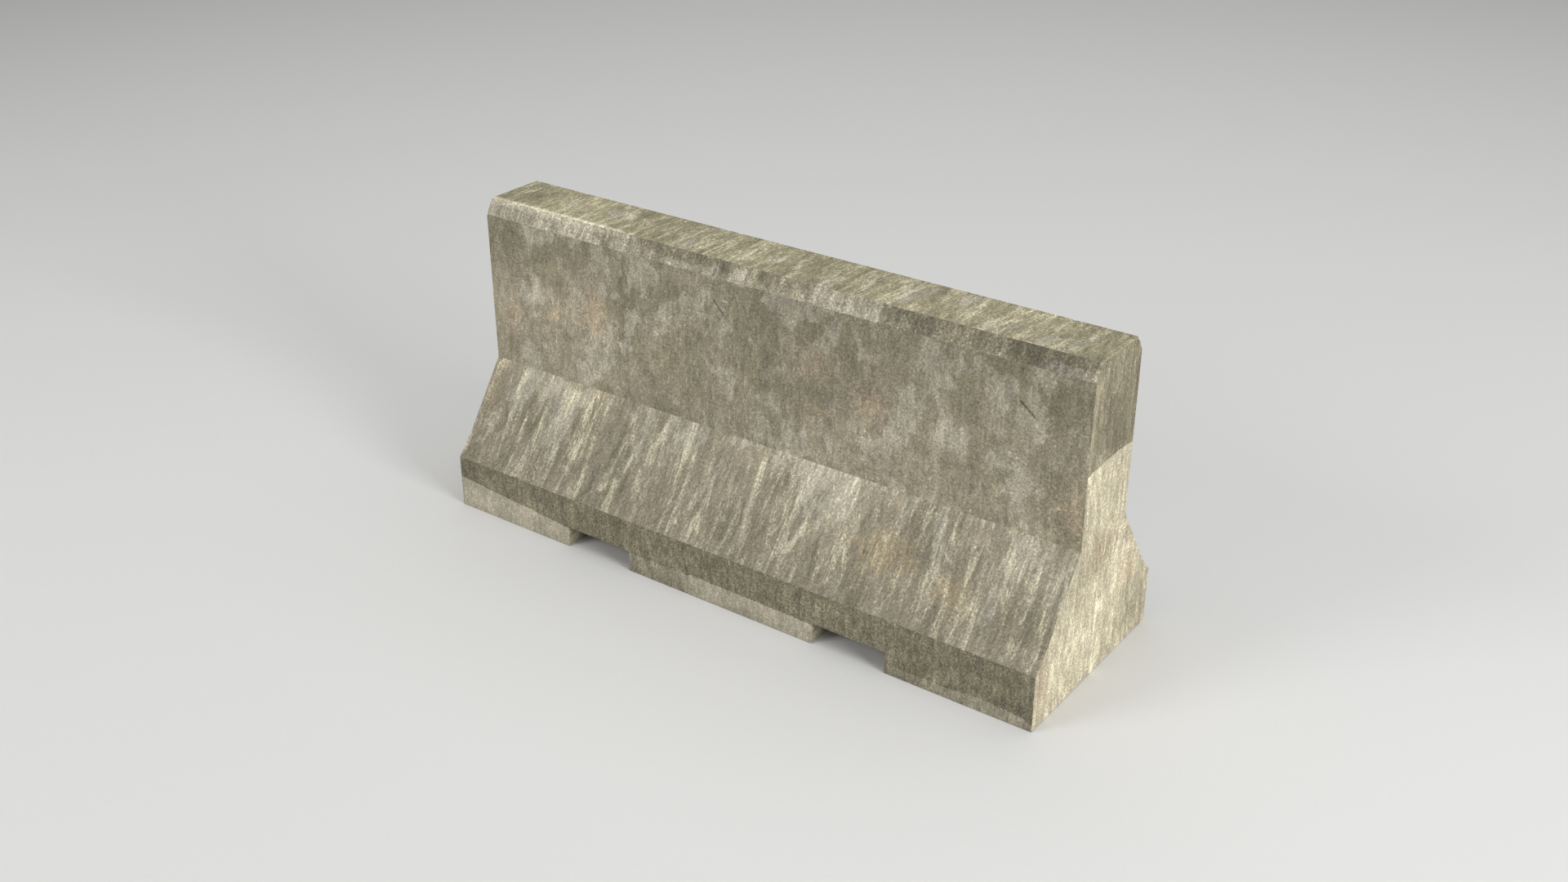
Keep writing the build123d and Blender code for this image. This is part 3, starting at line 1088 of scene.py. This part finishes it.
def stained(g, marks, patterns, colour):
    """The colour with warm tints, ragged cream runs and dark drips at the waist."""
    tint = g.mix(marks["slope"], PINK, OCHRE)
    colour = g.mix(ragged(g, marks, patterns, "warm"), colour, tint)
    # the ends take the cream's lighter copy, partly painted light
    cream = g.mix(marks["end"], CREAM, LIT_END_CREAM)
    runs_share = g.times(ragged(g, marks, patterns, "cream", CREAM_WEIGHT), marks["streaked"])
    colour = g.mix(runs_share, colour, cream)
    return g.mix(ragged(g, marks, patterns, "drip"), colour, SOOT)


def past_line(g, marks, patterns, swing, edge):
    """How far each place is past its zone's line, with a ragged edge."""
    return g.ramp(g.plus(marks["line_field"], g.around(patterns["crust"], swing)), *edge)


def lined(g, marks, patterns, colour):
    """The toe olive above its line and pale below it, and the ends dark above their line."""
    colour = g.mix(g.times(marks["toe"], TOE_OLIVE), colour, OLIVE)
    colour = g.mix(g.times(marks["below"], BELOW_LINE_COVER), colour, BELOW_LINE_PALE)
    above = g.times(past_line(g, marks, patterns, END_RAGGED, END_EDGE), marks["end"])
    return g.mix(above, colour, g.vector("MULTIPLY", colour, END_SHADE))


def weathered_concrete():
    """Board-cast concrete with lime film, runs, drips, a line on the toe and fine upright grain."""
    g = Graph("weathered_concrete")
    lay = g.carried("lay")
    marks = concrete_marks(g)
    patterns = concrete_patterns(g, lay, marks["streaked"])
    under = past_line(g, marks, patterns, TOE_RAGGED, TOE_EDGE)
    marks["below"] = g.times(under, marks["toe"], marks["below_line_strength"])

    colour = own_stone(g, marks, patterns)
    colour, film, outline = filmed(g, marks, patterns, colour)
    colour = stained(g, marks, patterns, colour)
    colour = lined(g, marks, patterns, colour)

    pores = g.dots(lay, *PORES)
    lightness = g.times(concrete_tone(g, marks, patterns), by_zone(g, pores, 1.0, PORE_SHADE))
    colour = g.scaled(colour, lightness)
    colour = g.mix(g.times(g.dots(lay, *LIME_SPECKS), SPECK_COVER), colour, SPECK)

    rough = g.plus(ROUGHNESS, g.times(film, FILM_ROUGHNESS), g.swung(patterns, ROUGHNESS_SWINGS))
    on_top = g.weighed({"film": film, "outline": outline, "pores": pores}, FILM_RELIEF)
    normal = g.bump(g.plus(g.swung(patterns, RELIEF), on_top), CONCRETE_BUMP)
    return g.surface(Base_Color=colour, Roughness=rough, Normal=normal, Specular_IOR_Level=0.25)


def bar_steel():
    """Mill-scaled reinforcing steel with rust bloom."""
    g = Graph("bar_steel")
    place = g.place()
    bloom = g.noise(place, scale=55.0, detail=7.0, rough=0.65, twist=0.6)
    scale = g.noise(place, scale=240.0, detail=4.0, rough=0.6)
    share = g.ramp(bloom, 0.44, 0.60)
    colour = g.mix(share, MILL_SCALE, RUST)
    colour = g.scaled(colour, g.plus(1.0, g.around(scale, 0.5)))
    normal = g.bump(g.plus(g.times(bloom, 0.6), g.times(scale, 0.4)), 0.0006)
    return g.surface(
        Base_Color=colour,
        Metallic=g.ramp(share, 0.0, 1.0, 0.8, 0.0),
        Roughness=g.ramp(bloom, 0.35, 0.65, 0.42, 0.88),
        Normal=normal,
    )


def tie_wire():
    """Dull annealed wire with a dusting of rust."""
    g = Graph("tie_wire")
    dust = g.noise(g.place(), scale=180.0, detail=5.0, rough=0.6)
    colour = g.mix(g.ramp(dust, 0.50, 0.64), WIRE, WIRE_RUST)
    rough = g.ramp(dust, 0.35, 0.65, 0.38, 0.75)
    return g.surface(Base_Color=colour, Metallic=0.7, Roughness=rough, Normal=g.bump(dust, 0.0003))


def spacer_plastic():
    """Grey moulded plastic with a faint sheen and cement dust."""
    g = Graph("spacer_plastic")
    place = g.place()
    dust = g.noise(place, scale=90.0, detail=5.0, rough=0.6)
    grain = g.noise(place, scale=900.0, detail=2.0, rough=0.5)
    colour = g.mix(g.ramp(dust, 0.48, 0.66), PLASTIC, CEMENT_DUST)
    rough = g.ramp(dust, 0.35, 0.65, 0.45, 0.70)
    return g.surface(Base_Color=colour, Roughness=rough, Normal=g.bump(grain, 0.0002))


def studio_floor():
    """Plain pale floor with the slightest tooth."""
    g = Graph("studio_floor")
    tooth = g.noise(g.place(), scale=90.0, detail=4.0, rough=0.6)
    colour = g.scaled(FLOOR_GREY, g.plus(1.0, g.around(tooth, 0.02)))
    normal = g.bump(tooth, 0.0003)
    return g.surface(Base_Color=colour, Roughness=0.9, Normal=normal, Specular_IOR_Level=0.2)


def dress_cage():
    """Finishes for the cage, which stays as the CAD has it inside the casting."""
    steel = bar_steel()
    finishes = {"wire_ties": tie_wire(), "cover_spacers": spacer_plastic()}
    for name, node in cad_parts.items():
        if name == "concrete_casting":
            continue
        for slot in node.material_slots:
            slot.link = "OBJECT"
            slot.material = finishes.get(name, steel)


# ================================================================ stage
FLOOR_REACH, FLOOR_CELLS = 30.0, 6

# name, place, what it faces, size, power
SOFTBOXES = (
    ("key", (9.0, -2.0, 3.4), (0.6, 0.0, 0.4), 3.4, 595.0),
    ("front", (-4.5, -8.0, 5.0), (0.0, 0.0, 0.4), 4.0, 340.0),
    ("above", (0.0, 2.0, 8.0), (0.0, 2.0, 0.0), 12.0, 450.0),
)
SKY_STRENGTH = 0.22

CAMERA_TURN = math.radians(36.0)
CAMERA_RISE = math.radians(27.2)
CAMERA_DISTANCE = 5.220 * HEIGHT
CAMERA_AIM = (0.0, 0.0, 0.4143 * HEIGHT)
CAMERA_LENS, CAMERA_SENSOR = 39.52, 36.0


def floor():
    """A wide flat floor under the barrier."""
    row = FLOOR_CELLS + 1
    spots = np.linspace(-FLOOR_REACH, FLOOR_REACH, row)
    points = [(x, y, 0.0) for y in spots for x in spots]
    faces = []
    for j in range(FLOOR_CELLS):
        for i in range(FLOOR_CELLS):
            near, beyond = j * row + i, (j + 1) * row + i
            faces.append((near, near + 1, beyond + 1, beyond))
    mesh = bpy.data.meshes.new("floor")
    mesh.from_pydata(points, [], faces)
    mesh.materials.append(studio_floor())
    stage = bpy.data.objects.new("floor", mesh)
    bpy.context.scene.collection.objects.link(stage)


def softbox(name, place, target, size, power):
    """A square area light at place that faces target and isn't seen itself."""
    light = bpy.data.lights.new(name, "AREA")
    light.shape = "SQUARE"
    light.size = size
    light.energy = power
    lamp = bpy.data.objects.new(name, light)
    lamp.location = place
    lamp.rotation_mode = "QUATERNION"
    lamp.rotation_quaternion = (Vector(target) - Vector(place)).to_track_quat("-Z", "Y")
    lamp.visible_camera = False
    bpy.context.scene.collection.objects.link(lamp)


def lights():
    """The three softboxes and an even white sky."""
    for box in SOFTBOXES:
        softbox(*box)
    world = bpy.data.worlds.new("studio")
    world.use_nodes = True
    background = world.node_tree.nodes["Background"]
    background.inputs["Color"].default_value = rgb(1.0, 1.0, 1.0)
    background.inputs["Strength"].default_value = SKY_STRENGTH
    bpy.context.scene.world = world


def camera():
    """The viewing angle: turned to the barrier's right end and looking down on it."""
    data = bpy.data.cameras.new("camera")
    data.lens, data.sensor_width = CAMERA_LENS, CAMERA_SENSOR
    eye = bpy.data.objects.new("camera", data)
    level = math.cos(CAMERA_RISE)
    back = Vector(
        (math.sin(CAMERA_TURN) * level, -math.cos(CAMERA_TURN) * level, math.sin(CAMERA_RISE))
    )
    eye.location = Vector(CAMERA_AIM) + back * CAMERA_DISTANCE
    eye.rotation_mode = "QUATERNION"
    eye.rotation_quaternion = (-back).to_track_quat("-Z", "Y")
    bpy.context.scene.collection.objects.link(eye)
    bpy.context.scene.camera = eye


bpy.context.scene.view_settings.view_transform = "Standard"
camera()
block = concrete_block()
block.data.materials.append(weathered_concrete())
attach(block, "root")
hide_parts("concrete_casting")
dress_cage()
floor()
lights()
